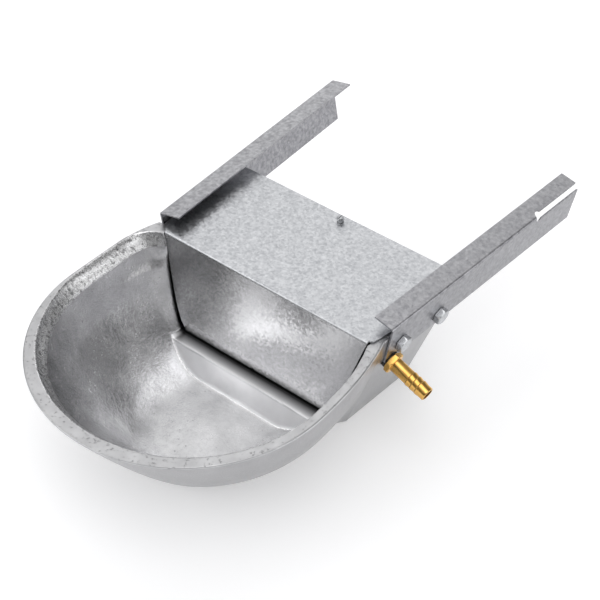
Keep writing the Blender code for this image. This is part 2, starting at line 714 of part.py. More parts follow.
def make_hose_tail(finish):
    collar_back = SEAL_THICKNESS + 2 * FIT
    collar_front = collar_back + COLLAR_THICKNESS
    tip = collar_front + TAIL_LENGTH
    cut = COLLAR_FLATS / 2 * 1.02
    rings = [
        circle(SPIGOT_BORE, SPIGOT_INNER_END),
        circle(SPIGOT_RADIUS, SPIGOT_INNER_END),
        circle(SPIGOT_RADIUS, collar_back),
        hexagon(COLLAR_FLATS, collar_back, cut),
        hexagon(COLLAR_FLATS, collar_back + COLLAR_THICKNESS * 0.15),
        hexagon(COLLAR_FLATS, collar_front - COLLAR_THICKNESS * 0.2),
        hexagon(COLLAR_FLATS, collar_front, cut),
        circle(TAIL_RADIUS, collar_front),
        circle(TAIL_RADIUS, collar_front + TAIL_SMOOTH),
    ]
    barb_start = collar_front + TAIL_SMOOTH
    for index in range(BARB_COUNT):
        low = barb_start + index * BARB_PITCH
        rings.append(circle(TAIL_RADIUS + BARB_RISE, low + BARB_PITCH * 0.12))
        rings.append(circle(TAIL_RADIUS, low + BARB_PITCH * 0.98))
    rings += [
        circle(TAIL_RADIUS, tip - TAIL_CHAMFER),
        circle(TAIL_RADIUS - TAIL_CHAMFER * 0.7, tip),
        circle(TAIL_BORE, tip),
        circle(TAIL_BORE, collar_front),
        circle(SPIGOT_BORE, collar_front - COLLAR_THICKNESS * 0.5),
    ]
    return place(loft(rings, looped=True), "hose_tail", finish, inlet_frame(), 25.0)


def make_inlet_seals(rubber):
    frame = inlet_frame()
    outer = frame @ Matrix.Translation((0, 0, FIT))
    washer("inlet_washer", rubber, outer, SPIGOT_RADIUS + FIT, SEAL_RADIUS, SEAL_THICKNESS)
    inner = frame @ Matrix.Translation((0, 0, -inlet_wall() - FIT - INNER_SEAL_THICKNESS))
    washer("inlet_seal", rubber, inner, SPIGOT_RADIUS + FIT, SEAL_RADIUS, INNER_SEAL_THICKNESS)


def inlet_wall():
    """Casting thickness along the inlet's axis."""
    return WALL * math.cos(chamber_draft())


def valve_start():
    return -inlet_wall() - 2 * FIT - INNER_SEAL_THICKNESS


def lever_fork_outline():
    """A lug's side view in (up, out) of the inlet's frame, round about the pivot."""
    margin = LUG_MARGIN
    low = -PIVOT_DROP
    points = [(VALVE_RADIUS * 0.55, VALVE_END + FIT)]
    points.append((VALVE_RADIUS * 0.55, PIVOT_END))
    points += arc((low, PIVOT_END), margin, -60, -180, 5)
    points.append((low - margin, VALVE_END + FIT))
    return points


def make_valve_body(finish):
    start = valve_start()
    end_wall = VALVE_END + VALVE_END_WALL
    bore = PLUNGER_RADIUS + FIT
    rings = [
        circle(bore, start), circle(VALVE_RADIUS, start), circle(VALVE_RADIUS, VALVE_END + VALVE_CHAMFER),
        circle(VALVE_RADIUS - VALVE_CHAMFER, VALVE_END), circle(STEM_RADIUS + FIT, VALVE_END),
        circle(STEM_RADIUS + FIT, end_wall), circle(bore, end_wall),
    ]
    body = place(loft(rings, looped=True), "valve_body", finish, inlet_frame())
    for side in (-1, 1):
        low = side * (LEVER_WIDTH / 2 + RUNNING_FIT)
        high = low + side * LUG_THICKNESS
        lug = cutter(prism(lever_fork_outline(), min(low, high), max(low, high), "X"),
                     "valve_lug_%d" % side, inlet_frame())
        apply_boolean(body, lug, "UNION")
    frame = inlet_frame()
    across = frame.to_3x3() @ Vector((1, 0, 0))
    reach = pin_span() + CUT_PAST
    rod_cut(body, "pivot_hole", PIVOT_RADIUS + RUNNING_FIT, pivot_point() - across * reach, across,
            2 * reach)
    window = VALVE_WINDOW_WIDTH / 2
    window_end = SPIGOT_INNER_END - VALVE_WINDOW_LENGTH
    shape = [(-window, window_end), (window, window_end), (window, SPIGOT_INNER_END),
             (-window, SPIGOT_INNER_END)]
    tool = cutter(prism(shape, -2 * VALVE_RADIUS, 0.0, "Y"), "valve_window", inlet_frame())
    apply_boolean(body, tool)
    return body


def pin_span():
    """Half the distance over the fork's two lugs."""
    return LEVER_WIDTH / 2 + RUNNING_FIT + LUG_THICKNESS


def plunger_back():
    """How far the plunger stands back at rest from where it shuts the inlet."""
    return PIVOT_DROP * LEVER_SWING


def make_plunger(plastic, rubber):
    face = SPIGOT_INNER_END - FIT - plunger_back()
    back = face - PLUNGER_SEAL_THICKNESS - FIT
    tail = PIVOT_END + FINGER_RADIUS + FIT - PIVOT_DROP * math.sin(LEVER_SWING / 2)
    seal = frame_at(face - PLUNGER_SEAL_THICKNESS)
    disc = loft([circle(PLUNGER_SEAL_RADIUS, 0.0), circle(PLUNGER_SEAL_RADIUS, PLUNGER_SEAL_THICKNESS)])
    place(disc, "plunger_seal", rubber, seal)
    rings = [
        circle(STEM_RADIUS * 0.4, tail - back), circle(STEM_RADIUS, tail - back + STEM_RADIUS * 0.4),
        circle(STEM_RADIUS, -PLUNGER_HEAD),
        circle(PLUNGER_RADIUS, -PLUNGER_HEAD), circle(PLUNGER_RADIUS, 0.0),
    ]
    place(loft(rings), "plunger", plastic, frame_at(back))


def frame_at(distance):
    """The inlet's frame moved along its own axis."""
    return inlet_frame() @ Matrix.Translation((0, 0, distance))


def pivot_point():
    return inlet_frame() @ Vector((0, -PIVOT_DROP, PIVOT_END))


# Float and lever

def lever_frame():
    """Pivot frame at rest: +X forward along the valve's level line, +Y along the pin, +Z up."""
    frame = inlet_frame()
    along = frame.to_3x3() @ Vector((1, 0, 0))
    if along.y < 0:
        along = -along
    up = Vector((0, 0, 1))
    ahead = along.cross(up).normalized()
    level = Matrix((ahead, along, ahead.cross(along))).transposed().to_4x4()
    return Matrix.Translation(pivot_point()) @ level @ Matrix.Rotation(-LEVER_SWING, 4, "Y")


def make_lever(finish):
    """Lever in its shut pose, as a side view swept along the pin, then dropped to rest."""
    lean = chamber_draft() + LEVER_SWING / 2
    nose = (PIVOT_DROP * math.sin(lean), PIVOT_DROP * math.cos(lean))
    turn = 90 - math.degrees(lean)
    half = LEVER_THICKNESS / 2
    pad_top = -FLOAT_DROP + FLOAT_HEIGHT / 2 + FIT + LEVER_THICKNESS
    pad_start = -FLOAT_REACH + FLOAT_PAD_RADIUS
    pad_end = -FLOAT_REACH - FLOAT_PAD_RADIUS
    side_view = arc(nose, FINGER_RADIUS, turn - 90, turn + 90, 6)
    spread = math.degrees(math.asin(FINGER_RADIUS / LEVER_HUB_RADIUS))
    root = math.degrees(math.asin(half / LEVER_HUB_RADIUS))
    side_view += arc((0, 0), LEVER_HUB_RADIUS, turn + spread, 180 - root, 3)
    side_view += [(pad_start, pad_top), (pad_end, pad_top)]
    side_view += [(pad_end, pad_top - LEVER_THICKNESS), (pad_start, pad_top - LEVER_THICKNESS)]
    side_view += arc((0, 0), LEVER_HUB_RADIUS, 180 + root, 360 + turn - spread, 8)
    frame = lever_frame()
    blade = prism(side_view, -LEVER_WIDTH / 2, LEVER_WIDTH / 2, "Y")
    lever = place(blade, "float_arm", finish, frame, 0)
    disc = loft([circle(FLOAT_PAD_RADIUS, pad_top - LEVER_THICKNESS), circle(FLOAT_PAD_RADIUS, pad_top)])
    pad = cutter(disc, "float_pad", frame @ Matrix.Translation((-FLOAT_REACH, 0, 0)))
    apply_boolean(lever, pad, "UNION")
    along = frame.to_3x3() @ Vector((0, 1, 0))
    reach = LEVER_WIDTH / 2 + CUT_PAST
    rod_cut(lever, "lever_pivot_hole", PIVOT_RADIUS + RUNNING_FIT, pivot_point() - along * reach, along,
            2 * reach)
    up = frame.to_3x3() @ Vector((0, 0, 1))
    low = frame @ Vector((-FLOAT_REACH, 0, pad_top - LEVER_THICKNESS - CUT_PAST))
    rod_cut(lever, "float_bolt_hole", FLOAT_BOLT_RADIUS + FIT, low, up, LEVER_THICKNESS + 2 * CUT_PAST)
    return lever


def rounded_outline(length, width, radius, inset=0.0, steps=4):
    """A rectangle with round corners, drawn in all round by an inset."""
    half_x = length / 2 - radius
    half_y = width / 2 - radius
    ring = []
    for sx, sy, start in ((1, 1, 0), (-1, 1, 90), (-1, -1, 180), (1, -1, 270)):
        ring += arc((sx * half_x, sy * half_y), radius - inset, start, start + 90, steps)
    return ring


def make_float(foam, zinc):
    frame = lever_frame() @ Matrix.Translation((-FLOAT_REACH, 0, -FLOAT_DROP))
    half = FLOAT_HEIGHT / 2
    rings = []
    for share in (1.0, 0.5, 0.15, 0.0):
        distance = FLOAT_ROUND * 0.5 * (1.0 - share)
        inset = rounding(distance, FLOAT_ROUND * 0.5)
        ring = rounded_outline(FLOAT_LENGTH, FLOAT_WIDTH, FLOAT_ROUND, inset)
        rings.append([(x, y, -half + distance) for x, y in ring])
    rings += [[(x, y, -z) for x, y, z in ring] for ring in reversed(rings)]
    body = place(loft(rings), "float", foam, frame)
    low = frame @ Vector((0, 0, -half - CUT_PAST))
    up = frame.to_3x3() @ Vector((0, 0, 1))
    rod_cut(body, "float_bore", FLOAT_BOLT_RADIUS + FIT, low, up, FLOAT_HEIGHT + 2 * CUT_PAST)

    flip = Matrix.Rotation(math.pi, 4, "X")
    washer_seat = frame @ Matrix.Translation((0, 0, -half - FIT)) @ flip
    washer("float_washer", zinc, washer_seat, FLOAT_BOLT_RADIUS + FIT, FLOAT_WASHER_RADIUS,
           WASHER_THICKNESS)
    head_seat = washer_seat @ Matrix.Translation((0, 0, WASHER_THICKNESS + FIT))
    nut_seat = frame @ Matrix.Translation((0, 0, half + 2 * FIT + LEVER_THICKNESS))
    length = FLOAT_HEIGHT + WASHER_THICKNESS + LEVER_THICKNESS + 4 * FIT + FLOAT_NUT + FLOAT_BOLT_SHOWS
    hex_bolt("float_bolt", zinc, head_seat, FLOAT_BOLT_RADIUS, length, FLOAT_BOLT_FLATS, FLOAT_BOLT_HEAD)
    hex_nut("float_nut", zinc, nut_seat, FLOAT_BOLT_RADIUS + FIT, FLOAT_BOLT_FLATS, FLOAT_NUT)


def make_pivot_pin(zinc):
    """Headed pin through the fork, held by a split pin in its tail."""
    frame = lever_frame()
    span = pin_span()
    along = Matrix.Rotation(-math.pi / 2, 4, "X")
    rings = [
        circle(PIVOT_RADIUS, -span - PIN_TAIL),
        circle(PIVOT_RADIUS, span + FIT),
        circle(PIN_HEAD_RADIUS, span + FIT),
        circle(PIN_HEAD_RADIUS, span + FIT + PIN_HEAD),
    ]
    pin = place(loft(rings), "pivot_pin", zinc, frame @ along)
    hole = frame @ Vector((0, -span - PIN_TAIL / 2, -2 * PIVOT_RADIUS))
    up = frame.to_3x3() @ Vector((0, 0, 1))
    rod_cut(pin, "split_pin_hole", 2 * SPLIT_WIRE + SPLIT_GAP / 2 + FIT / 2, hole, up, 4 * PIVOT_RADIUS)
    make_split_pin(zinc, frame @ Matrix.Translation((0, -span - PIN_TAIL / 2, 0)))


def make_split_pin(zinc, matrix):
    """Two legs bent apart under the pin and a round eye over it, swept as one wire."""
    eye = SPLIT_EYE
    over = PIVOT_RADIUS + FIT + SPLIT_WIRE
    under = -PIVOT_RADIUS - SPLIT_LEG
    leg = SPLIT_WIRE + SPLIT_GAP / 2
    centre = over + math.sqrt(eye ** 2 - leg ** 2)
    start = math.degrees(math.asin(leg / eye))
    bends = [(1.0, -0.4), (0.3, 0.3), (0.0, 0.9)]
    right = [(leg + SPLIT_SPREAD * x, under + SPLIT_SPREAD * z) for x, z in bends]
    path = right + arc((0, centre), eye, start - 90, 270 - start, 10)
    path += [(-x, z) for x, z in reversed(right)]
    curve = bpy.data.curves.new("split_pin", "CURVE")
    curve.dimensions = "3D"
    curve.bevel_depth = SPLIT_WIRE
    curve.bevel_resolution = 1
    curve.use_fill_caps = True
    spline = curve.splines.new("POLY")
    spline.points.add(len(path) - 1)
    for point, (x, z) in zip(spline.points, path):
        point.co = (x, 0.0, z, 1.0)
    curve.materials.append(zinc)
    pin = bpy.data.objects.new("split_pin", curve)
    bpy.context.scene.collection.objects.link(pin)
    pin.matrix_world = matrix


def make_cover_screw(zinc):
    """Slotted round-head screw that stands a little proud of the cover."""
    seat = Matrix.Translation((0, COVER_SCREW_Y, COVER_TOP + COVER_SCREW_PROUD))
    tip = -COVER_SCREW_LENGTH - SHEET - COVER_SCREW_PROUD + FIT
    rings = [
        circle(COVER_SCREW_RADIUS * 0.7, tip),
        circle(COVER_SCREW_RADIUS, tip + COVER_SCREW_RADIUS * 0.3),
        circle(COVER_SCREW_RADIUS, 0.0),
        circle(COVER_SCREW_HEAD_RADIUS, 0.0),
        circle(COVER_SCREW_HEAD_RADIUS, COVER_SCREW_HEAD * 0.4),
        circle(COVER_SCREW_HEAD_RADIUS * 0.85, COVER_SCREW_HEAD * 0.8),
        circle(COVER_SCREW_HEAD_RADIUS * 0.45, COVER_SCREW_HEAD),
    ]
    screw = place(loft(rings), "cover_screw", zinc, seat, 25.0)
    half = COVER_SCREW_SLOT / 2
    slot = [(-half, COVER_SCREW_HEAD - COVER_SCREW_SLOT), (half, COVER_SCREW_HEAD - COVER_SCREW_SLOT),
            (half, 2 * COVER_SCREW_HEAD), (-half, 2 * COVER_SCREW_HEAD)]
    reach = 2 * COVER_SCREW_HEAD_RADIUS
    apply_boolean(screw, cutter(prism(slot, -reach, reach, "Y"), "screw_slot", seat))


def main():
    clear_scene()
    aluminium = material("cast_aluminium", (0.72, 0.72, 0.73), 0.32, 1.0)
    galvanised = material("galvanised_steel", (0.66, 0.67, 0.69), 0.45, 1.0)
    zinc = material("zinc_plated_steel", (0.60, 0.61, 0.63), 0.38, 1.0)
    brass = material("brass", (0.85, 0.52, 0.16), 0.25, 1.0)
    rubber = material("black_rubber", (0.02, 0.02, 0.02), 0.7, 0.0)
    plastic = material("white_acetal", (0.80, 0.80, 0.78), 0.4, 0.0)
    foam = material("float_foam", (0.12, 0.12, 0.13), 0.7, 0.0)
    make_basin(aluminium)
    make_cover(galvanised)
    make_cover_screw(zinc)
    make_bracket(-1, "left_bracket", galvanised)
    make_bracket(1, "right_bracket", galvanised)
    make_bracket_bolts(zinc)
    make_hose_tail(brass)
    make_inlet_seals(rubber)
    make_valve_body(brass)
    make_plunger(plastic, rubber)
    make_lever(brass)
    make_pivot_pin(zinc)
    make_float(foam, zinc)


main()
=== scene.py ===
"""Looks of the float-fed pig drinker: finer casting, real finishes, studio light and camera."""

import math

import bmesh
import bpy
from mathutils import Matrix, Vector, noise


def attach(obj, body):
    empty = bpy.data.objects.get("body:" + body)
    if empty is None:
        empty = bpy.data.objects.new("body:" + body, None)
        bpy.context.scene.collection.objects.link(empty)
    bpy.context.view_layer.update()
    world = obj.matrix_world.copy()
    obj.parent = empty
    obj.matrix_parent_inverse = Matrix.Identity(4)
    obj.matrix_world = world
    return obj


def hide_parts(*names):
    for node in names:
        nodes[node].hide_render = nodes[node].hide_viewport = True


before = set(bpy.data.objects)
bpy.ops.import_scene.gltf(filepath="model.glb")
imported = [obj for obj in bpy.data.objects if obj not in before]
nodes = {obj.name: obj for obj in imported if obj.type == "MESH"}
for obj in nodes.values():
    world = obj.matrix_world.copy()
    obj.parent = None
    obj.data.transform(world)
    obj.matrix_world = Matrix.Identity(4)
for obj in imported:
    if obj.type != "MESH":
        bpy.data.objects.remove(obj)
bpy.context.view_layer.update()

# Casting: the same sizes and formulas as its CAD solid, in metres
RIM_HEIGHT = 0.113
RIM_HALF_WIDTH = {-1: 0.1310, 1: 0.1288}
RIM_FRONT = 0.2135
DISH_CENTRE = 0.0855
BASE_HALF_WIDTH = 0.056
BASE_FRONT = 0.132
BASE_CENTRE = 0.051
SIDE_FULLNESS = (1.66, 0.81)
FRONT_FULLNESS = (1.04, 0.90)
CENTRE_SHIFT = 0.8
RIM_EDGE_RADIUS = 0.0015
BASE_EDGE_RADIUS = 0.005
BRACKET_TILT = math.radians(9.8)
BRACKET_SPLAY = {-1: math.radians(2.6), 1: math.radians(3.7)}
PAD_HALF_WIDTH = {-1: 0.1173, 1: 0.1163}
PAD_DEPTH = 0.024
CHAMBER_BASE_HALF_WIDTH = 0.083
NECK_Y = 0.008
SHOULDER = {-1: 0.0050, 1: 0.0006}
SHOULDER_RUN = 0.001
REAR_WALL_Y = 0.111
REAR_DRAFT = math.radians(4.0)
CORNER_RADIUS = 0.022
WALL = 0.006
DISH_WALL = 0.004
FLOOR = 0.006
RIM_LAND_SIDE = {-1: 0.0065, 1: 0.0080}
RIM_LAND_FRONT = 0.0125
LIP_DEPTH = 0.012
LIP_STEP = 0.0016
LIP_FADE = 0.045
MOUTH_HALF_WIDTH = 0.1078
FLOOR_RADIUS = 0.008
RIM_BULGE = {-1: 4.4, 1: 2.3}
MOUTH_BULGE = {-1: 12.0, 1: 2.6}
HOLLOW_BULGE = 2.5
OUTER_BULGE = 2.0
BULGE_DEPTH = 0.030
WEIR_TOP = 0.0268
WEIR_FRONT_Y = -0.027
WEIR_BACK_Y = -0.009
WEIR_LEAN = math.radians(25.0)

# Casting: how finely the visible skin is divided
ARC_STEPS = 150
SIDE_STEPS = 30
SIDE_SPACING = 1.6
CHAMBER_SIDE_STEPS = 6
CORNER_STEPS = 8
BASE_EDGE_ROWS = 6
OUTER_ROWS = 46
RIM_EDGE_ROWS = 5
LAND_ROWS = 6
LAND_INNER_ROWS = 4
LIP_ROWS = 16
HOLLOW_ROWS = 56
FOOT_ROWS = 12
FLOOR_ROWS = 44
FLOOR_MIDDLE_Y = -0.015
FLOOR_MIDDLE_SHARE = 0.02
WEIR_CUTS = 66
WEIR_CUT_FRONT_Y = -0.046
WEIR_CUT_BACK_Y = 0.004
WEIR_REACH_FRONT_Y = -0.055
WEIR_REACH_BACK_Y = 0.010

# Casting: small forms that the visible skin has and the CAD solid doesn't
LAND_INNER_RADIUS = 0.0009
DISH_FOOT_RADIUS = 0.012
LEDGE_TOP = 0.0035
LEDGE_FOOT = 0.0110
LEDGE_STEP = {-1: 0.0030, 1: 0.0}
BROW = 0.0042
BROW_DEPTH = 0.0055
BROW_FRONT_Y = -0.135
BROW_RUN = 0.075
BROW_END_RUN = 0.030
WEIR_FILLET = 0.0036
WEIR_CREST = 0.0010
NECK_RIB = 0.0024
NECK_RIB_RUN = 0.014
SLOW_WAVE = 38.0
FINE_WAVE = 85.0
WAVE_DEPTH = 0.00018
LAND_WAVE = 60.0
LAND_WAVE_DEPTH = 0.00010

# Cover: the lean of its baffle, and the height where the sheet folds down
BAFFLE_LEAN = math.radians(9.3)
COVER_FOLD = 0.1130

# Which finish each stretch of the casting's skin takes
SLOTS = {"hollow": 0, "wall": 1, "edge": 2, "land": 2, "lip": 3, "weir": 4}

# Galvanising: how far each spangle tilts the light
SPANGLE_TILT = 0.07

# Weir's top: where the painted shade under the baffle starts and is full behind the front edge, and
# the crest's band that takes it and a painted dark reflection
BAFFLE_SHADE_START = 0.0015
BAFFLE_SHADE_FULL = 0.0105
CREST_BAND_FOOT = 0.0024
CREST_BAND_TOP = 0.0008

# Camera, found from the photograph's outlines
CAMERA_TURN = math.radians(39.0)
CAMERA_RISE = math.radians(42.2)
CAMERA_ROLL = math.radians(0.1)
CAMERA_ASIDE = 0.0312
CAMERA_UP = -0.0125
CAMERA_DISTANCE = 1.1346
CAMERA_AIM_HEIGHT = 0.1148
CAMERA_LENS = 84.09

# Studio: a grey room with soft lights, each with azimuth from +Y towards +X, elevation and
# radius in degrees, and brightness. They started from a fit to the photograph's greys and were
# then rounded and changed.
ROOM_LEVEL = 0.19
HORIZON_FOOT = 0.02
HORIZON_TOP = 0.10
STAGE_HALF = 6.0
STAGE_DROP = 0.0003
STAGE_GLOW = 0.35
SOFT_LIGHTS = {
    "key": (120.0, 65.0, 32.0, 1.85),
    "front": (180.0, 65.0, 42.0, 0.50),
    "overhead": (300.0, 65.0, 44.0, 0.88),
    "left": (220.0, 27.0, 32.0, 1.70),
    "right": (70.0, 10.0, 30.0, 1.50),
    "back": (330.0, 12.0, 50.0, 0.72),
}


# Casting

def smooth_step(share):
    share = min(1.0, max(0.0, share))
    return share * share * (3.0 - 2.0 * share)


def soft_max(a, b, blend):
    near = max(blend - abs(a - b), 0.0) / blend
    return max(a, b) + near * near * blend / 4


def evenly(start, end, steps):
    return [start + (end - start) * step / steps for step in range(steps + 1)]


def fade(share, power, root):
    return max(0.0, 1.0 - share ** power) ** root


def chamber_half_width(side, depth):
    pad_foot = PAD_HALF_WIDTH[side] - PAD_DEPTH * math.tan(BRACKET_TILT)
    if depth <= PAD_DEPTH:
        return PAD_HALF_WIDTH[side] - depth * math.tan(BRACKET_TILT)
    share = (depth - PAD_DEPTH) / (RIM_HEIGHT - PAD_DEPTH)
    return pad_foot + (CHAMBER_BASE_HALF_WIDTH - pad_foot) * share


def rounding(distance, radius):
    if distance >= radius:
        return 0.0
    return radius - math.sqrt(radius ** 2 - (radius - distance) ** 2)


def arc(centre, radius, start, end, steps):
    points = []
    for index in range(steps + 1):
        angle = math.radians(start + (end - start) * index / steps)
        points.append((centre[0] + radius * math.cos(angle), centre[1] + radius * math.sin(angle)))
    return points


def outline(sides, front, centre, rear, neck_y, corner):
    """One closed ring: round front, swelling flanks, straight chamber sides, two rear corners."""
    reach = front - centre
    ring = []
    for index in range(ARC_STEPS + 1):
        turn = math.pi * index / ARC_STEPS
        width = sides[-1 if 2 * index < ARC_STEPS else 1][0]
        ring.append((-width * math.cos(turn), -centre - reach * math.sin(turn)))
    for side in (1, -1):
        width, neck, shoulder, bulge = sides[side]
        root = neck + shoulder
        flank = []
        for step in range(1, SIDE_STEPS + 1):
            share = 1.0 - (1.0 - step / SIDE_STEPS) ** SIDE_SPACING
            y = -centre + (neck_y + centre) * share
            flank.append((root + (width - root) * (1.0 - share ** bulge), y))
        pad_y = neck_y + SHOULDER_RUN
        flank.append((neck, pad_y))
        rear_half = neck + math.tan(BRACKET_SPLAY[side]) * (rear - corner - pad_y)
        for step in range(1, CHAMBER_SIDE_STEPS):
            share = step / CHAMBER_SIDE_STEPS
            flank.append((neck + (rear_half - neck) * share, pad_y + (rear - corner - pad_y) * share))
        flank += arc((rear_half - corner, rear - corner), corner, 0, 90, CORNER_STEPS)
        ring += [(side * x, y) for x, y in flank[::side]]
    return ring


def dish_size(depth):
    share = min(1.0, max(0.0, depth / RIM_HEIGHT))
    grow = fade(share, *SIDE_FULLNESS)
    widths = {}
    for side in (-1, 1):
        widths[side] = BASE_HALF_WIDTH + (RIM_HALF_WIDTH[side] - BASE_HALF_WIDTH) * grow
    front = BASE_FRONT + (RIM_FRONT - BASE_FRONT) * fade(share, *FRONT_FULLNESS)
    centre = DISH_CENTRE - (DISH_CENTRE - BASE_CENTRE) * share ** CENTRE_SHIFT
    return widths, front, centre


def bulge_at(depth, at_rim, below):
    share = min(1.0, depth / BULGE_DEPTH)
    return at_rim + (below - at_rim) * share


def outer_ring(depth, inset=0.0):
    widths, front, centre = dish_size(depth)
    rear = REAR_WALL_Y - depth * math.tan(REAR_DRAFT)
    sides = {}
    for side in (-1, 1):
        shoulder = SHOULDER[side] * max(0.0, 1.0 - depth / PAD_DEPTH)
        bulge = bulge_at(depth, RIM_BULGE[side], OUTER_BULGE)
        sides[side] = (widths[side] - inset, chamber_half_width(side, depth) - inset, shoulder, bulge)
    flat = outline(sides, front - inset, centre, rear - inset, NECK_Y, CORNER_RADIUS)
    return [Vector((x, y, RIM_HEIGHT - depth)) for x, y in flat]


def hollow_ring(depth, inset=0.0):
    """Inner skin at a depth; a negative inset opens it out."""
    widths, front, centre = dish_size(depth + FLOOR)
    widths_below_rim = dish_size(FLOOR)[0]
    lip = LIP_STEP * max(0.0, 1.0 - abs(depth - LIP_DEPTH) / LIP_FADE)
    if depth < LIP_DEPTH:
        lip = LIP_STEP * (depth / LIP_DEPTH) ** 2
    near_rim = 1.0 - min(1.0, depth / LIP_FADE)
    ledge = smooth_step((depth - LEDGE_TOP) / (LEDGE_FOOT - LEDGE_TOP)) * near_rim
    foot = rounding(RIM_HEIGHT - FLOOR - depth, FLOOR_RADIUS)
    dish_foot = rounding(RIM_HEIGHT - FLOOR - depth, DISH_FOOT_RADIUS)
    chamber = chamber_half_width(1, depth) - WALL - foot - inset
    chamber -= (PAD_HALF_WIDTH[1] - MOUTH_HALF_WIDTH - WALL) * max(0.0, 1.0 - depth / PAD_DEPTH)
    rear = REAR_WALL_Y - depth * math.tan(REAR_DRAFT) - WALL - foot - inset
    sides = {}
    for side in (-1, 1):
        land = widths_below_rim[side] - DISH_WALL - RIM_HALF_WIDTH[side] + RIM_LAND_SIDE[side]
        shift = DISH_WALL + lip + near_rim * land + inset + dish_foot + LEDGE_STEP[side] * ledge
        bulge = bulge_at(depth, MOUTH_BULGE[side], HOLLOW_BULGE)
        sides[side] = (widths[side] - shift, chamber, 0.0, bulge)
    front_land = dish_size(FLOOR)[1] - DISH_WALL - RIM_FRONT + RIM_LAND_FRONT
    front -= DISH_WALL + lip + near_rim * front_land + inset + dish_foot
    flat = outline(sides, front, centre, rear, -SHOULDER_RUN, CORNER_RADIUS - WALL)
    brow = BROW * max(0.0, 1.0 - depth / BROW_DEPTH) ** 2
    rib = NECK_RIB * smooth_step(depth / LIP_DEPTH)
    baffle_y = -depth * math.tan(BAFFLE_LEAN)
    ring = []
    for x, y in flat:
        if x < 0.0:
            x -= brow * smooth_step((y - BROW_FRONT_Y) / BROW_RUN) * smooth_step(-y / BROW_END_RUN)
            x += rib * smooth_step(1.0 - abs(y - baffle_y) / NECK_RIB_RUN)
        ring.append(Vector((x, y, RIM_HEIGHT - depth)))
    return ring


def weir_height(y):
    """Height of the weir's side view, its faces running on below the floor."""
    slope = 1.0 / math.tan(WEIR_LEAN)
    front = WEIR_TOP + (y - WEIR_FRONT_Y) * slope
    back = WEIR_TOP - (y - WEIR_BACK_Y) * slope
    top = -soft_max(-WEIR_TOP, -front, WEIR_CREST)
    return -soft_max(-top, -back, WEIR_CREST)


def basin_rows():
    """Rings from the underside's edge up the outside, over the land, and down the inside."""
    rows = []
    marks = []
    base = RIM_HEIGHT
    for angle in evenly(0.0, 90.0, BASE_EDGE_ROWS):
        lift = BASE_EDGE_RADIUS * (1.0 - math.cos(math.radians(angle)))
        rows.append(outer_ring(base - lift, rounding(lift, BASE_EDGE_RADIUS)))
        marks.append("wall")
    for depth in evenly(base - BASE_EDGE_RADIUS, RIM_EDGE_RADIUS, OUTER_ROWS)[1:]:
        rows.append(outer_ring(depth))
        marks.append("wall")
    shoulder = outer_ring(RIM_EDGE_RADIUS)
    top = outer_ring(0.0, RIM_EDGE_RADIUS)
    for angle in evenly(0.0, 90.0, RIM_EDGE_ROWS)[1:]:
        turn = math.radians(angle)
        row = []
        for low, high in zip(shoulder, top):
            point = low.lerp(high, 1.0 - math.cos(turn))
            point.z = low.z + (high.z - low.z) * math.sin(turn)
            row.append(point)
        rows.append(row)
        marks.append("edge")
    outer = rows[-1]
    inner = hollow_ring(0.0, -LAND_INNER_RADIUS)
    for share in evenly(0.0, 1.0, LAND_ROWS)[1:]:
        rows.append([a.lerp(b, share) for a, b in zip(outer, inner)])
        marks.append("land")
    for angle in evenly(0.0, 90.0, LAND_INNER_ROWS)[1:]:
        depth = LAND_INNER_RADIUS * (1.0 - math.cos(math.radians(angle)))
        rows.append(hollow_ring(depth, -rounding(depth, LAND_INNER_RADIUS)))
        marks.append("lip")
    floor_depth = RIM_HEIGHT - FLOOR
    for depth in evenly(LAND_INNER_RADIUS, LIP_DEPTH, LIP_ROWS)[1:]:
        rows.append(hollow_ring(depth))
        marks.append("lip")
    for depth in evenly(LIP_DEPTH, floor_depth - DISH_FOOT_RADIUS, HOLLOW_ROWS)[1:]:
        rows.append(hollow_ring(depth))
        marks.append("hollow")
    for angle in evenly(0.0, 90.0, FOOT_ROWS)[1:]:
        depth = floor_depth - DISH_FOOT_RADIUS * (1.0 - math.sin(math.radians(angle)))
        rows.append(hollow_ring(depth))
        marks.append("hollow")
    edge = rows[-1]
    middle = Vector((0.0, FLOOR_MIDDLE_Y, FLOOR))
    for share in evenly(1.0, FLOOR_MIDDLE_SHARE, FLOOR_ROWS)[1:]:
        rows.append([middle + (point - middle) * share for point in edge])
        marks.append("hollow")
    return rows, marks


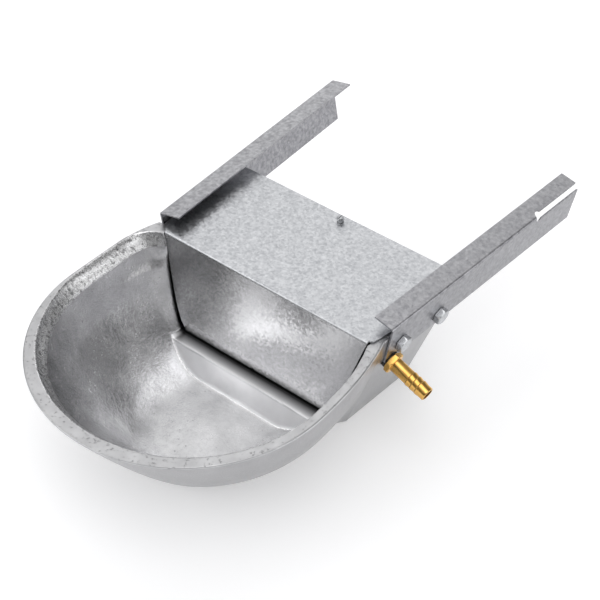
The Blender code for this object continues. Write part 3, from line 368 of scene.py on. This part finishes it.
def build_basin():
    """The casting's skin: its rings joined, with the weir raised across the floor."""
    rows, marks = basin_rows()
    shell = bmesh.new()
    skins = [[shell.verts.new(point) for point in row] for row in rows]
    count = len(rows[0])
    for index in range(len(rows) - 1):
        for k in range(count):
            after = (k + 1) % count
            face = shell.faces.new((skins[index][k], skins[index][after],
                                    skins[index + 1][after], skins[index + 1][k]))
            face.material_index = SLOTS[marks[index + 1]]
    shell.faces.new(list(reversed(skins[0]))).material_index = SLOTS["wall"]
    shell.faces.new(skins[-1]).material_index = SLOTS["hollow"]
    bmesh.ops.recalc_face_normals(shell, faces=shell.faces)
    for y in evenly(WEIR_CUT_FRONT_Y, WEIR_CUT_BACK_Y, WEIR_CUTS):
        near = [face for face in shell.faces if face.material_index == SLOTS["hollow"]
                and min(v.co.y for v in face.verts) < y < max(v.co.y for v in face.verts)
                and min(v.co.z for v in face.verts) < WEIR_TOP + WEIR_FILLET]
        edges = set(edge for face in near for edge in face.edges)
        verts = set(vert for face in near for vert in face.verts)
        bmesh.ops.bisect_plane(shell, geom=near + list(edges) + list(verts), dist=1e-6,
                               plane_co=(0, y, 0), plane_no=(0, 1, 0))
    raised = set()
    for vert in shell.verts:
        if vert.co.z > WEIR_TOP + WEIR_FILLET:
            continue
        if not WEIR_REACH_FRONT_Y < vert.co.y < WEIR_REACH_BACK_Y:
            continue
        if not any(face.material_index == SLOTS["hollow"] for face in vert.link_faces):
            continue
        crest = weir_height(vert.co.y)
        if crest > vert.co.z - WEIR_FILLET / 2:
            raised.add(vert)
        vert.co.z = soft_max(vert.co.z, crest, WEIR_FILLET)
    for face in shell.faces:
        if all(vert in raised for vert in face.verts):
            face.material_index = SLOTS["weir"]
    roughen_casting(shell)
    mesh = bpy.data.meshes.new("basin_skin")
    shell.to_mesh(mesh)
    shell.free()
    mesh.shade_smooth()
    return mesh


def roughen_casting(shell):
    """Hand-finished skin: slow waves in the dish and a ground land that isn't quite flat."""
    waved = {SLOTS["hollow"], SLOTS["lip"], SLOTS["weir"]}
    shell.normal_update()
    for vert in shell.verts:
        kinds = set(face.material_index for face in vert.link_faces)
        point = vert.co
        if kinds <= waved:
            wave = noise.noise(point * SLOW_WAVE)
            wave = wave + 0.5 * noise.noise(point * FINE_WAVE + Vector((3, 1, 7)))
            vert.co = point - vert.normal * WAVE_DEPTH * (wave + 0.9)
        elif kinds == {SLOTS["land"]}:
            wave = noise.noise(point * LAND_WAVE)
            vert.co = point - Vector((0, 0, LAND_WAVE_DEPTH * (wave + 1.0)))


# Node graphs

class Graph:
    """A material's or world's nodes, made with short calls."""

    def __init__(self, owner):
        owner.use_nodes = True
        self.tree = owner.node_tree
        self.tree.nodes.clear()

    def add(self, kind, values=None, **settings):
        made = self.tree.nodes.new(kind)
        for name, value in settings.items():
            setattr(made, name, value)
        for key, value in (values or {}).items():
            if isinstance(value, bpy.types.NodeSocket):
                self.tree.links.new(value, made.inputs[key])
            else:
                made.inputs[key].default_value = value
        return made

    def noise(self, vector, scale, detail=2.0, roughness=0.5, distortion=0.0):
        made = self.add("ShaderNodeTexNoise", {"Vector": vector, "Scale": scale, "Detail": detail,
                                               "Roughness": roughness, "Distortion": distortion})
        return made.outputs["Fac"]

    def ramp(self, value, low, high, to_low=0.0, to_high=1.0):
        made = self.add("ShaderNodeMapRange", {"Value": value, "From Min": low, "From Max": high,
                                               "To Min": to_low, "To Max": to_high})
        return made.outputs["Result"]

    def math(self, operation, a, b=0.0):
        return self.add("ShaderNodeMath", {0: a, 1: b}, operation=operation).outputs[0]

    def mix(self, share, a, b):
        made = self.add("ShaderNodeMix", {0: share}, data_type="RGBA")
        for index, value in ((6, a), (7, b)):
            if isinstance(value, bpy.types.NodeSocket):
                self.tree.links.new(value, made.inputs[index])
            else:
                made.inputs[index].default_value = (*value, 1.0)
        return made.outputs[2]

    def stretch(self, vector, scale):
        return self.add("ShaderNodeMapping", {"Vector": vector, "Scale": scale}).outputs["Vector"]

    def bump(self, height, distance, normal=None):
        values = {"Height": height, "Distance": distance, "Strength": 1.0}
        if normal:
            values["Normal"] = normal
        return self.add("ShaderNodeBump", values).outputs["Normal"]

    def finish(self, colour, roughness, normal, metallic=1.0):
        shader = self.add("ShaderNodeBsdfPrincipled", {"Metallic": metallic, "Base Color": colour,
                                                       "Roughness": roughness, "Normal": normal})
        out = self.add("ShaderNodeOutputMaterial")
        self.tree.links.new(shader.outputs[0], out.inputs["Surface"])

    def place(self):
        return self.add("ShaderNodeTexCoord").outputs["Object"]


def new_material(name):
    made = bpy.data.materials.new(name)
    return made, Graph(made)


def cast_inside():
    """Tumbled aluminium: a drifting tone, grain, a rubbed unevenness and sparse pits."""
    made, g = new_material("aluminium_tumbled")
    place = g.place()
    slow = g.noise(place, 45.0, 3.0)
    grain = g.noise(place, 420.0, 4.0, 0.6)
    fine = g.noise(place, 1500.0, 2.0)
    pits = g.ramp(g.noise(place, 260.0, 2.0), 0.70, 0.76)
    tone = g.ramp(slow, 0.3, 0.7)
    colour = g.mix(tone, (0.50, 0.50, 0.51), (0.66, 0.66, 0.67))
    colour = g.mix(g.math("MULTIPLY", pits, 0.4), colour, (0.22, 0.22, 0.23))
    rough = g.math("ADD", g.ramp(slow, 0.3, 0.7, 0.17, 0.24), g.ramp(grain, 0.35, 0.65, -0.04, 0.05))
    rubbed = g.noise(place, 240.0, 4.0, 0.65, 1.2)
    normal = g.bump(fine, 0.00004)
    normal = g.bump(grain, 0.00015, normal)
    normal = g.bump(rubbed, 0.00030, normal)
    normal = g.bump(g.math("MULTIPLY", pits, -1.0), 0.00015, normal)
    g.finish(colour, rough, normal)
    return made


def cast_lip():
    """Lip left as cast: coarse, with dark pits and bright worn spots."""
    made, g = new_material("aluminium_as_cast")
    place = g.place()
    coarse = g.noise(place, 330.0, 4.0, 0.65)
    fine = g.noise(place, 1300.0, 3.0, 0.6)
    pits = g.ramp(coarse, 0.52, 0.62)
    colour = g.mix(g.ramp(fine, 0.35, 0.65), (0.68, 0.68, 0.69), (0.94, 0.94, 0.95))
    colour = g.mix(g.math("MULTIPLY", pits, 0.70), colour, (0.10, 0.10, 0.105))
    rough = g.ramp(fine, 0.3, 0.7, 0.20, 0.34)
    normal = g.bump(fine, 0.00006)
    normal = g.bump(coarse, 0.00045, normal)
    g.finish(colour, rough, normal)
    return made


def cast_satin():
    """Weir: a satin skin, paler than the tumbled dish, with a painted dark reflection on its top and
    painted shade that deepens towards the baffle.
    """
    made, g = new_material("aluminium_satin")
    place = g.place()
    slow = g.noise(place, 60.0, 3.0)
    grain = g.noise(place, 700.0, 3.0, 0.6)
    colour = g.mix(g.ramp(slow, 0.3, 0.7), (0.88, 0.88, 0.89), (0.96, 0.96, 0.97))
    where = g.add("ShaderNodeSeparateXYZ", {0: place})
    near = g.ramp(where.outputs["Y"], WEIR_FRONT_Y + BAFFLE_SHADE_START, WEIR_FRONT_Y + BAFFLE_SHADE_FULL)
    high = g.ramp(where.outputs["Z"], WEIR_TOP - CREST_BAND_FOOT, WEIR_TOP - CREST_BAND_TOP)
    stain_and_shade = g.math("MULTIPLY", near, high)
    # Painted reflection: the top band is darkened where it would mirror the dark baffle.
    colour = g.mix(g.math("MULTIPLY", high, 0.55), colour, (0.40, 0.40, 0.41))
    # Painted shade: the top goes nearly black towards the baffle's foot.
    colour = g.mix(g.math("POWER", stain_and_shade, 0.6), colour, (0.035, 0.035, 0.036))
    rough = g.ramp(grain, 0.3, 0.7, 0.32, 0.44)
    g.finish(colour, rough, g.bump(grain, 0.00006))
    return made


def cast_outside():
    """Linished aluminium: fine upright scratches over a satin wall."""
    made, g = new_material("aluminium_linished")
    place = g.place()
    scratch = g.noise(g.stretch(place, (1.0, 1.0, 0.06)), 900.0, 3.0, 0.6)
    slow = g.noise(place, 35.0, 3.0)
    grain = g.noise(place, 500.0, 3.0)
    colour = g.mix(g.ramp(slow, 0.3, 0.7), (0.38, 0.38, 0.39), (0.47, 0.47, 0.48))
    rough = g.math("ADD", g.ramp(scratch, 0.3, 0.7, 0.30, 0.42), g.ramp(slow, 0.3, 0.7, -0.04, 0.04))
    normal = g.bump(grain, 0.00004)
    normal = g.bump(scratch, 0.00008, normal)
    g.finish(colour, rough, normal)
    return made


def cast_land():
    """Ground rim land: pale satin with dark pits left from casting."""
    made, g = new_material("aluminium_ground")
    place = g.place()
    pits = g.ramp(g.noise(place, 420.0, 3.0, 0.6), 0.60, 0.68)
    scratch = g.noise(g.stretch(place, (1.0, 0.15, 1.0)), 1100.0, 3.0)
    slow = g.noise(place, 70.0, 2.0)
    colour = g.mix(g.ramp(slow, 0.3, 0.7), (0.48, 0.48, 0.49), (0.58, 0.58, 0.59))
    colour = g.mix(g.math("MULTIPLY", pits, 0.5), colour, (0.18, 0.18, 0.19))
    rough = g.ramp(scratch, 0.3, 0.7, 0.30, 0.42)
    normal = g.bump(scratch, 0.00005)
    normal = g.bump(g.math("MULTIPLY", pits, -1.0), 0.00025, normal)
    g.finish(colour, rough, normal)
    return made


def galvanised(name, light, dark, size, smooth_below=None, web_shade=0.0):
    """Hot-dip zinc: small spangles that tilt the light a little, with a dull bloom over them.

    Below the height smooth_below the sheet is wiped bright and smooth. Upright faces get painted
    shade: their colour is darkened towards a dark grey by the given share.
    """
    made, g = new_material(name)
    place = g.place()
    drift = g.add("ShaderNodeTexNoise", {"Vector": place, "Scale": 160.0, "Detail": 2.0})
    moved = g.add("ShaderNodeVectorMath", {0: drift.outputs["Color"], "Scale": 0.0035},
                  operation="SCALE")
    warped = g.add("ShaderNodeVectorMath", {0: place, 1: moved.outputs[0]}, operation="ADD").outputs[0]
    cells = g.add("ShaderNodeTexVoronoi", {"Vector": warped, "Scale": size, "Randomness": 1.0})
    grey = g.add("ShaderNodeSeparateColor", {0: cells.outputs["Color"]}).outputs[0]
    slow = g.noise(place, 22.0, 3.0)
    blotch = g.ramp(g.noise(place, 300.0, 3.0, 0.6), 0.34, 0.66)
    fine = g.noise(place, 900.0, 3.0, 0.6)
    tone = g.math("ADD", g.math("MULTIPLY", grey, 0.40), g.math("MULTIPLY", blotch, 0.40))
    tone = g.math("ADD", tone, g.math("MULTIPLY", slow, 0.20))
    colour = g.mix(tone, dark, light)
    rough = g.math("ADD", g.ramp(grey, 0.0, 1.0, 0.31, 0.40), g.ramp(slow, 0.3, 0.7, -0.03, 0.03))
    facing = g.add("ShaderNodeNewGeometry").outputs["Normal"]
    if smooth_below:
        height = g.add("ShaderNodeSeparateXYZ", {0: place}).outputs["Z"]
        wiped = g.ramp(height, smooth_below - 0.001, smooth_below, 1.0, 0.0)
        colour = g.mix(wiped, colour, g.mix(tone, (0.78, 0.78, 0.79), (0.96, 0.96, 0.97)))
        rough = g.math("SUBTRACT", rough, g.math("MULTIPLY", wiped, 0.19))
    # Painted shade: upright faces are darkened towards a dark grey.
    if web_shade:
        tip = g.add("ShaderNodeSeparateXYZ", {0: facing}).outputs["Z"]
        upright = g.ramp(g.math("ABSOLUTE", tip), 0.4, 0.8, web_shade, 0.0)
        colour = g.mix(upright, colour, g.mix(tone, (0.14, 0.14, 0.15), (0.34, 0.34, 0.36)))
    lean = g.add("ShaderNodeVectorMath", {0: cells.outputs["Color"], 1: (0.5, 0.5, 0.5)},
                 operation="SUBTRACT").outputs[0]
    lean = g.add("ShaderNodeVectorMath", {0: lean, "Scale": SPANGLE_TILT}, operation="SCALE")
    leant = g.add("ShaderNodeVectorMath", {0: facing, 1: lean.outputs[0]}, operation="ADD").outputs[0]
    leant = g.add("ShaderNodeVectorMath", {0: leant}, operation="NORMALIZE").outputs[0]
    normal = g.bump(fine, 0.00003, leant)
    g.finish(colour, rough, normal)
    return made


def plated(name, colour, rough_low, rough_high, grain_size, grain_depth, stain_and_shade):
    """A bright metal with faint staining and fine grain."""
    made, g = new_material(name)
    place = g.place()
    slow = g.noise(place, 120.0, 3.0)
    grain = g.noise(place, grain_size, 3.0)
    tint = g.mix(g.ramp(slow, 0.35, 0.75), colour, stain_and_shade)
    g.finish(tint, g.ramp(grain, 0.3, 0.7, rough_low, rough_high), g.bump(grain, grain_depth))
    return made


def dull(name, colour, other, roughness, size, depth):
    """Rubber, plastic or foam: grain, tone and a matt surface."""
    made, g = new_material(name)
    place = g.place()
    slow = g.noise(place, 90.0, 2.0)
    grain = g.noise(place, size, 3.0)
    tint = g.mix(g.ramp(slow, 0.3, 0.7), colour, other)
    rough = g.ramp(grain, 0.3, 0.7, roughness - 0.08, roughness + 0.08)
    g.finish(tint, rough, g.bump(grain, depth), metallic=0.0)
    return made


# Pieces

def soften(name, finish, width=0.00022, segments=2):
    """A CAD node keeps its shape and gets its finish, with rounded, smoothly shaded edges."""
    target = nodes[name]
    mesh = target.data
    mesh.materials.clear()
    mesh.materials.append(finish)
    mesh.shade_smooth()
    weld = target.modifiers.new("weld", "WELD")
    weld.merge_threshold = 0.000005
    bevel = target.modifiers.new("edge", "BEVEL")
    bevel.width = width
    bevel.segments = segments
    bevel.limit_method = "ANGLE"
    bevel.angle_limit = math.radians(38.0)
    bevel.harden_normals = False
    target.modifiers.new("normals", "WEIGHTED_NORMAL").keep_sharp = True


def add_piece(name, mesh, body, replaces, finishes):
    made = bpy.data.objects.new(name, mesh)
    bpy.context.scene.collection.objects.link(made)
    for finish in finishes:
        mesh.materials.append(finish)
    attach(made, body)
    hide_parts(*replaces)


def dress():
    """Every node gets its finish, and the casting its finer skin."""
    basin = build_basin()
    add_piece("basin_cast", basin, "housing", ["basin"],
              [cast_inside(), cast_outside(), cast_land(), cast_lip(), cast_satin()])
    sheet = galvanised("galvanised_cover", (0.74, 0.75, 0.77), (0.36, 0.37, 0.39), 520.0, COVER_FOLD)
    strip = galvanised("galvanised_bracket", (0.62, 0.62, 0.64), (0.26, 0.26, 0.28), 360.0,
                       web_shade=0.6)
    zinc = plated("zinc_plate", (0.56, 0.57, 0.59), 0.22, 0.36, 900.0, 0.00003, (0.44, 0.45, 0.46))
    brass = plated("brass_turned", (0.78, 0.47, 0.14), 0.14, 0.26, 1400.0, 0.00002, (0.66, 0.37, 0.09))
    rubber = dull("black_rubber", (0.018, 0.018, 0.019), (0.030, 0.030, 0.031), 0.62, 1200.0, 0.00005)
    acetal = dull("white_acetal", (0.80, 0.80, 0.77), (0.74, 0.74, 0.71), 0.40, 900.0, 0.00002)
    foam = dull("float_foam", (0.10, 0.10, 0.11), (0.15, 0.15, 0.16), 0.78, 700.0, 0.00012)
    soften("cover", sheet)
    soften("left_bracket", strip, 0.0004)
    soften("right_bracket", strip, 0.0004)
    for name in nodes:
        if name.startswith("bolt_"):
            soften(name, zinc)
    for name in ("cover_screw", "float_bolt", "float_nut", "float_washer", "pivot_pin"):
        soften(name, zinc)
    soften("split_pin", zinc, 0.00002, 1)
    for name in ("hose_tail", "valve_body", "float_arm"):
        soften(name, brass)
    for name in ("inlet_washer", "inlet_seal", "plunger_seal"):
        soften(name, rubber)
    soften("plunger", acetal)
    soften("float", foam, 0.0006, 3)


# Studio

def build_floor():
    mesh = bpy.data.meshes.new("floor")
    signs = ((-1, -1), (1, -1), (1, 1), (-1, 1))
    corners = [(x * STAGE_HALF, y * STAGE_HALF, -STAGE_DROP) for x, y in signs]
    mesh.from_pydata(corners, [], [(0, 1, 2, 3)])
    floor = bpy.data.objects.new("floor", mesh)
    bpy.context.scene.collection.objects.link(floor)
    made, g = new_material("studio_floor")
    path = g.add("ShaderNodeLightPath")
    seen = g.math("MAXIMUM", path.outputs["Is Camera Ray"], path.outputs["Is Glossy Ray"])
    seen = g.math("MAXIMUM", seen, path.outputs["Is Transmission Ray"])
    matt = g.add("ShaderNodeBsdfDiffuse", {"Color": (0.80, 0.80, 0.81, 1.0)})
    glow = g.add("ShaderNodeEmission", {"Color": (1.0, 1.0, 1.0, 1.0),
                                        "Strength": g.math("MULTIPLY", seen, STAGE_GLOW)})
    both = g.add("ShaderNodeAddShader", {0: matt.outputs[0], 1: glow.outputs[0]})
    out = g.add("ShaderNodeOutputMaterial")
    g.tree.links.new(both.outputs[0], out.inputs["Surface"])
    mesh.materials.append(made)


def build_world():
    """White at the horizon, a grey room above it, and the soft lights."""
    world = bpy.data.worlds.new("studio")
    bpy.context.scene.world = world
    g = Graph(world)
    way = g.add("ShaderNodeTexCoord").outputs["Generated"]
    height = g.add("ShaderNodeSeparateXYZ", {0: way}).outputs["Z"]
    shade = g.ramp(height, HORIZON_FOOT, HORIZON_TOP, 1.0, ROOM_LEVEL)
    for azimuth, elevation, radius, level in SOFT_LIGHTS.values():
        turn, rise = math.radians(azimuth), math.radians(elevation)
        middle = (math.sin(turn) * math.cos(rise), math.cos(turn) * math.cos(rise), math.sin(rise))
        edge = math.cos(math.radians(radius))
        near = g.add("ShaderNodeVectorMath", {0: way, 1: middle}, operation="DOT_PRODUCT")
        glow = g.add("ShaderNodeMapRange", {"Value": near.outputs["Value"], "From Max": 1.0,
                                            "From Min": edge, "To Max": level},
                     interpolation_type="SMOOTHSTEP")
        shade = g.math("ADD", shade, glow.outputs["Result"])
    back = g.add("ShaderNodeBackground", {"Color": (1.0, 1.0, 1.0, 1.0), "Strength": shade})
    out = g.add("ShaderNodeOutputWorld")
    g.tree.links.new(back.outputs[0], out.inputs["Surface"])


def build_camera():
    turn, rise, roll = CAMERA_TURN, CAMERA_RISE, CAMERA_ROLL
    back = Vector((math.sin(turn) * math.cos(rise), -math.cos(turn) * math.cos(rise), math.sin(rise)))
    right = Vector((math.cos(turn), math.sin(turn), 0.0))
    up = back.cross(right)
    across = right * math.cos(roll) + up * math.sin(roll)
    above = up * math.cos(roll) - right * math.sin(roll)
    data = bpy.data.cameras.new("view")
    data.lens = CAMERA_LENS
    data.sensor_width = 36.0
    data.clip_start = 0.05
    camera = bpy.data.objects.new("view", data)
    bpy.context.scene.collection.objects.link(camera)
    matrix = Matrix((across, above, back)).transposed().to_4x4()
    matrix.translation = (across * CAMERA_ASIDE + above * CAMERA_UP + back * CAMERA_DISTANCE
                          + Vector((0, 0, CAMERA_AIM_HEIGHT)))
    camera.matrix_world = matrix
    bpy.context.scene.camera = camera


dress()
build_floor()
build_world()
build_camera()
bpy.context.scene.view_settings.view_transform = "Standard"
